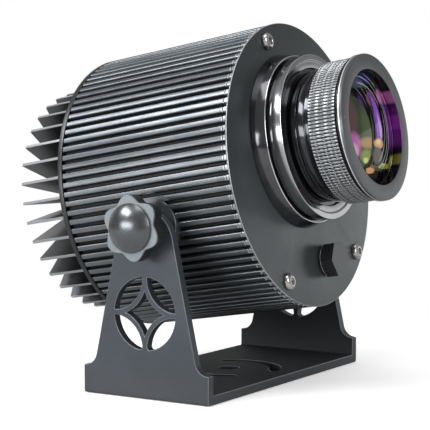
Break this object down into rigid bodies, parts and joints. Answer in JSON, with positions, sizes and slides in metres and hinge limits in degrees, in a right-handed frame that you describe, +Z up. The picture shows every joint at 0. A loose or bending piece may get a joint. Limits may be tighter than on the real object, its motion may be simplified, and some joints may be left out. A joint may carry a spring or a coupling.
{
  "type": "outdoor gobo projector",
  "caption": "Round ribbed gobo projector head with a focusing lens on its front plate, radial cooling fins behind, tilting in a U bracket with clamp knobs",
  "frame": {"origin": "on the ground, under the middle of the whole outline", "axes": "+Z up, the lens faces -Y and is nosed up 9 degrees, +X to the right seen from in front of the lens"},
  "size_m": [0.2098, 0.2111, 0.2024],
  "materials": {
    "housing_paint": "anodised dark grey, satin, bright on the rib tips",
    "plate_paint": "satin mid grey with bright machined edges",
    "bracket_paint": "satin dark grey powder coat",
    "sink_paint": "black anodised fins with lighter edges",
    "lens_black": "gloss black anodised",
    "grip_grey": "ribbed grey anodised",
    "steel": "stainless",
    "knob_grey": "light grey satin",
    "knob_dark": "dark polished",
    "black_plastic": "black nylon",
    "rubber": "black",
    "brass": "turned",
    "emitter_yellow": "phosphor under a clear dome",
    "glass": "coated, violet and green reflections",
    "clear_glass": "clear",
    "aluminium": "machined"
  },
  "bodies": {
    "bracket": {"bracket": "bracket_paint"},
    "head": {"housing": "housing_paint", "front_plate": "plate_paint", "front_screw_1": "steel", "front_screw_2": "steel", "front_screw_3": "steel", "front_screw_4": "steel", "front_seal": "rubber", "vent_plug": "black_plastic", "vent_plug_seal": "rubber", "heatsink": "sink_paint", "rear_screw_1": "steel", "rear_screw_2": "steel", "rear_screw_3": "steel", "rear_screw_4": "steel", "rear_seal": "rubber", "led_board": "aluminium", "led_emitter": "emitter_yellow", "led_driver": "black_plastic", "condenser_tube": "lens_black", "condenser_lens_rear": "clear_glass", "condenser_spacer": "lens_black", "condenser_lens_front": "clear_glass", "condenser_ring": "lens_black", "gobo_carrier": "aluminium", "gobo_bush": "brass", "gobo_motor": "aluminium", "lens_mount": "lens_black", "lens_lock_ring": "lens_black", "lens_barrel": "lens_black", "middle_lens": "glass", "middle_lens_ring": "lens_black", "rear_lens": "glass", "rear_lens_ring": "lens_black", "gland_body": "black_plastic", "gland_seal": "rubber", "gland_locknut": "black_plastic", "gland_nut": "black_plastic", "near_friction_washer": "rubber", "far_friction_washer": "rubber"},
    "gobo_rotor": {"gobo_holder": "black_plastic", "gobo_glass": "clear_glass", "gobo_ring": "steel"},
    "gobo_pinion": {"motor_shaft": "steel", "motor_pinion": "brass"},
    "lens_carriage": {"lens_cell": "lens_black", "front_lens": "glass", "front_lens_ring": "lens_black"},
    "focus_grip": {"focus_ring": "grip_grey", "focus_bezel": "plate_paint"},
    "near_washer": {"near_clamp_washer": "steel"},
    "near_clamp": {"near_knob": "knob_grey", "near_knob_cap": "knob_dark", "near_knob_stud": "steel"},
    "far_washer": {"far_clamp_washer": "steel"},
    "far_clamp": {"far_knob": "knob_grey", "far_knob_cap": "knob_dark", "far_knob_stud": "steel"}
  },
  "joints": [
    {"name": "head_tilt", "type": "hinge", "parent": "bracket", "child": "head", "pos_m": [0, -0.00337, 0.0915], "axis": [-1, 0, 0], "range_deg": [-45, 25]},
    {"name": "gobo_spin", "type": "hinge", "parent": "head", "child": "gobo_rotor", "pos_m": [-0.0055, 0.00242, 0.12804], "axis": [0, -0.9877, 0.1564], "continuous": true},
    {"name": "pinion_spin", "type": "hinge", "parent": "head", "child": "gobo_pinion", "pos_m": [-0.0055, -0.00349, 0.09076], "axis": [0, -0.9877, 0.1564], "continuous": true},
    {"name": "lens_travel", "type": "slide", "parent": "head", "child": "lens_carriage", "axis": [0, -0.9877, 0.1564], "range_m": [-0.003, 0.003]},
    {"name": "focus_turn", "type": "hinge", "parent": "lens_carriage", "child": "focus_grip", "pos_m": [-0.0055, 0.00242, 0.12804], "axis": [0, -0.9877, 0.1564], "range_deg": [-135, 135]},
    {"name": "near_washer_slide", "type": "slide", "parent": "head", "child": "near_washer", "axis": [-1, 0, 0], "range_m": [0, 0.0025]},
    {"name": "near_knob_turn", "type": "hinge", "parent": "near_washer", "child": "near_clamp", "pos_m": [0, -0.00337, 0.0915], "axis": [-1, 0, 0], "range_deg": [0, 720]},
    {"name": "far_washer_slide", "type": "slide", "parent": "head", "child": "far_washer", "axis": [1, 0, 0], "range_m": [0, 0.0025]},
    {"name": "far_knob_turn", "type": "hinge", "parent": "far_washer", "child": "far_clamp", "pos_m": [0, -0.00337, 0.0915], "axis": [1, 0, 0], "range_deg": [0, 720]}
  ],
  "couplings": [
    {"joint": "pinion_spin", "follows": "gobo_spin", "ratio": -4},
    {"joint": "focus_turn", "follows": "lens_travel", "rad_per_m": 785.32},
    {"joint": "near_knob_turn", "follows": "near_washer_slide", "rad_per_m": 5026},
    {"joint": "far_knob_turn", "follows": "far_washer_slide", "rad_per_m": 5026}
  ]
}
